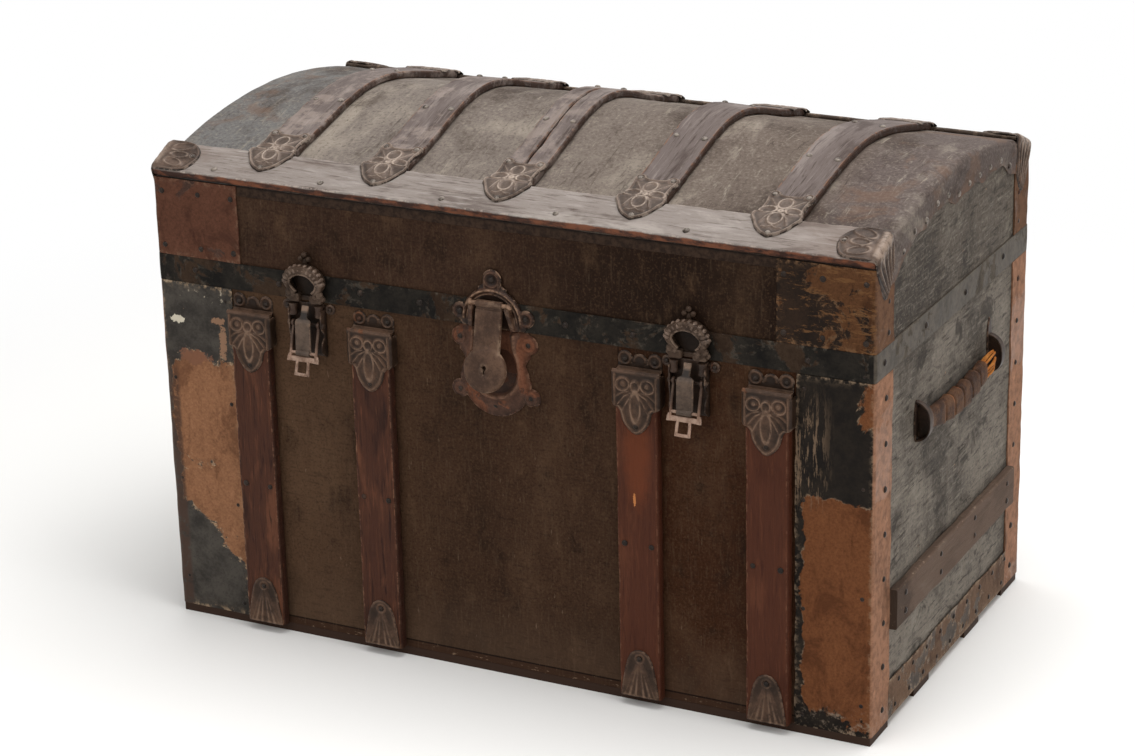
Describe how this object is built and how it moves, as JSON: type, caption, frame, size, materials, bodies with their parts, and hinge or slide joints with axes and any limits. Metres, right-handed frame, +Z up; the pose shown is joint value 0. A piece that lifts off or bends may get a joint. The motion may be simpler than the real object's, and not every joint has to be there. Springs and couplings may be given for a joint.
{
  "type": "dome top trunk",
  "caption": "Canvas covered travelling trunk with a low domed hinged lid, hardwood slats, iron corners, draw bolts, a hasp lock and leather end handles.",
  "frame": {"origin": "the middle of the bounding box, on the floor under the runners", "axes": "+Z up, -Y out of the front with the lock, +X towards the right end"},
  "size_m": [0.7948, 0.4576, 0.5408],
  "materials": {
    "canvas": "painted canvas on pine, dark brown, worn",
    "dome_canvas": "grey brown canvas on pine staves, worn",
    "end_canvas": "grey painted canvas on pine, brushed",
    "pine": "bare",
    "hardwood": "red brown, worn varnish",
    "worn_slat": "grey brown, worn bare",
    "black_iron": "black, worn",
    "rusted_iron": "rusted sheet with black paint left in patches",
    "brown_iron": "brown patina",
    "pale_iron": "worn bright",
    "leather": "cracked"
  },
  "bodies": {
    "base": {"runner_front": "hardwood", "runner_mid_front": "hardwood", "runner_mid_rear": "hardwood", "runner_rear": "hardwood", "base_front_board": "canvas", "base_back_board": "canvas", "base_left_end_board": "end_canvas", "base_right_end_board": "end_canvas", "base_floor_board": "pine", "base_corner_plate_front_left": "rusted_iron", "base_corner_plate_front_right": "rusted_iron", "base_corner_plate_rear_left": "rusted_iron", "base_corner_plate_rear_right": "rusted_iron", "front_slat_1": "hardwood", "front_slat_2": "hardwood", "front_slat_3": "hardwood", "front_slat_4": "hardwood", "end_foot_band_left": "rusted_iron", "end_foot_band_right": "rusted_iron", "end_slat_left": "worn_slat", "end_slat_right": "worn_slat", "handle_clip_left_a": "brown_iron", "handle_clip_left_b": "brown_iron", "handle_clip_right_a": "brown_iron", "handle_clip_right_b": "brown_iron", "draw_bolt_base_left": "brown_iron", "draw_bolt_base_right": "brown_iron", "lock_base_plate": "rusted_iron", "hinge_lower_leaf_left": "black_iron", "hinge_lower_leaf_right": "black_iron"},
    "lid": {"lid_front_board": "canvas", "lid_back_board": "canvas", "lid_left_end_board": "end_canvas", "lid_right_end_board": "end_canvas", "dome_top": "dome_canvas", "lid_rim_band": "black_iron", "long_slat_front": "worn_slat", "long_slat_rear": "worn_slat", "dome_slat_1": "hardwood", "dome_slat_2": "hardwood", "dome_slat_3": "hardwood", "dome_slat_4": "hardwood", "dome_slat_5": "hardwood", "lid_corner_iron_front_left": "rusted_iron", "lid_corner_iron_front_right": "rusted_iron", "lid_corner_iron_rear_left": "rusted_iron", "lid_corner_iron_rear_right": "rusted_iron", "draw_bolt_catch_left": "brown_iron", "draw_bolt_catch_right": "brown_iron", "lock_lid_plate": "brown_iron", "hinge_upper_leaf_left": "black_iron", "hinge_upper_leaf_right": "black_iron"},
    "hasp": {"lock_hasp": "brown_iron"},
    "lever_left": {"draw_bolt_lever_left": "pale_iron"},
    "lever_right": {"draw_bolt_lever_right": "pale_iron"},
    "tongue_left": {"draw_bolt_tongue_left": "brown_iron"},
    "tongue_right": {"draw_bolt_tongue_right": "brown_iron"},
    "handle_left_grip": {"handle_left": "leather"},
    "handle_right_grip": {"handle_right": "leather"}
  },
  "joints": [
    {"name": "lid_hinge", "type": "hinge", "parent": "base", "child": "lid", "pos_m": [0, 0.2243, 0.36415], "axis": [-1, 0, 0], "range_deg": [0, 100]},
    {"name": "hasp_pin", "type": "hinge", "parent": "lid", "child": "hasp", "pos_m": [-0.0043, -0.2084, 0.3903], "axis": [-1, 0, 0], "range_deg": [0, 110]},
    {"name": "lever_pivot_left", "type": "hinge", "parent": "base", "child": "lever_left", "pos_m": [-0.2094, -0.2071, 0.342], "axis": [-1, 0, 0], "range_deg": [0, 100]},
    {"name": "tongue_pin_left", "type": "hinge", "parent": "lever_left", "child": "tongue_left", "pos_m": [-0.2094, -0.21484, 0.31405], "axis": [-1, 0, 0], "range_deg": [-100, 0]},
    {"name": "lever_pivot_right", "type": "hinge", "parent": "base", "child": "lever_right", "pos_m": [0.2005, -0.2071, 0.342], "axis": [-1, 0, 0], "range_deg": [0, 100]},
    {"name": "tongue_pin_right", "type": "hinge", "parent": "lever_right", "child": "tongue_right", "pos_m": [0.2005, -0.21484, 0.31405], "axis": [-1, 0, 0], "range_deg": [-100, 0]},
    {"name": "handle_pivot_left", "type": "hinge", "parent": "base", "child": "handle_left_grip", "pos_m": [-0.3898, 0.0092, 0.29], "axis": [0, 1, 0], "range_deg": [0, 90]},
    {"name": "handle_pivot_right", "type": "hinge", "parent": "base", "child": "handle_right_grip", "pos_m": [0.3898, 0.0092, 0.29], "axis": [0, -1, 0], "range_deg": [0, 90]}
  ],
  "couplings": [
    {"joint": "tongue_pin_left", "follows": "lever_pivot_left", "ratio": -1},
    {"joint": "tongue_pin_right", "follows": "lever_pivot_right", "ratio": -1}
  ]
}
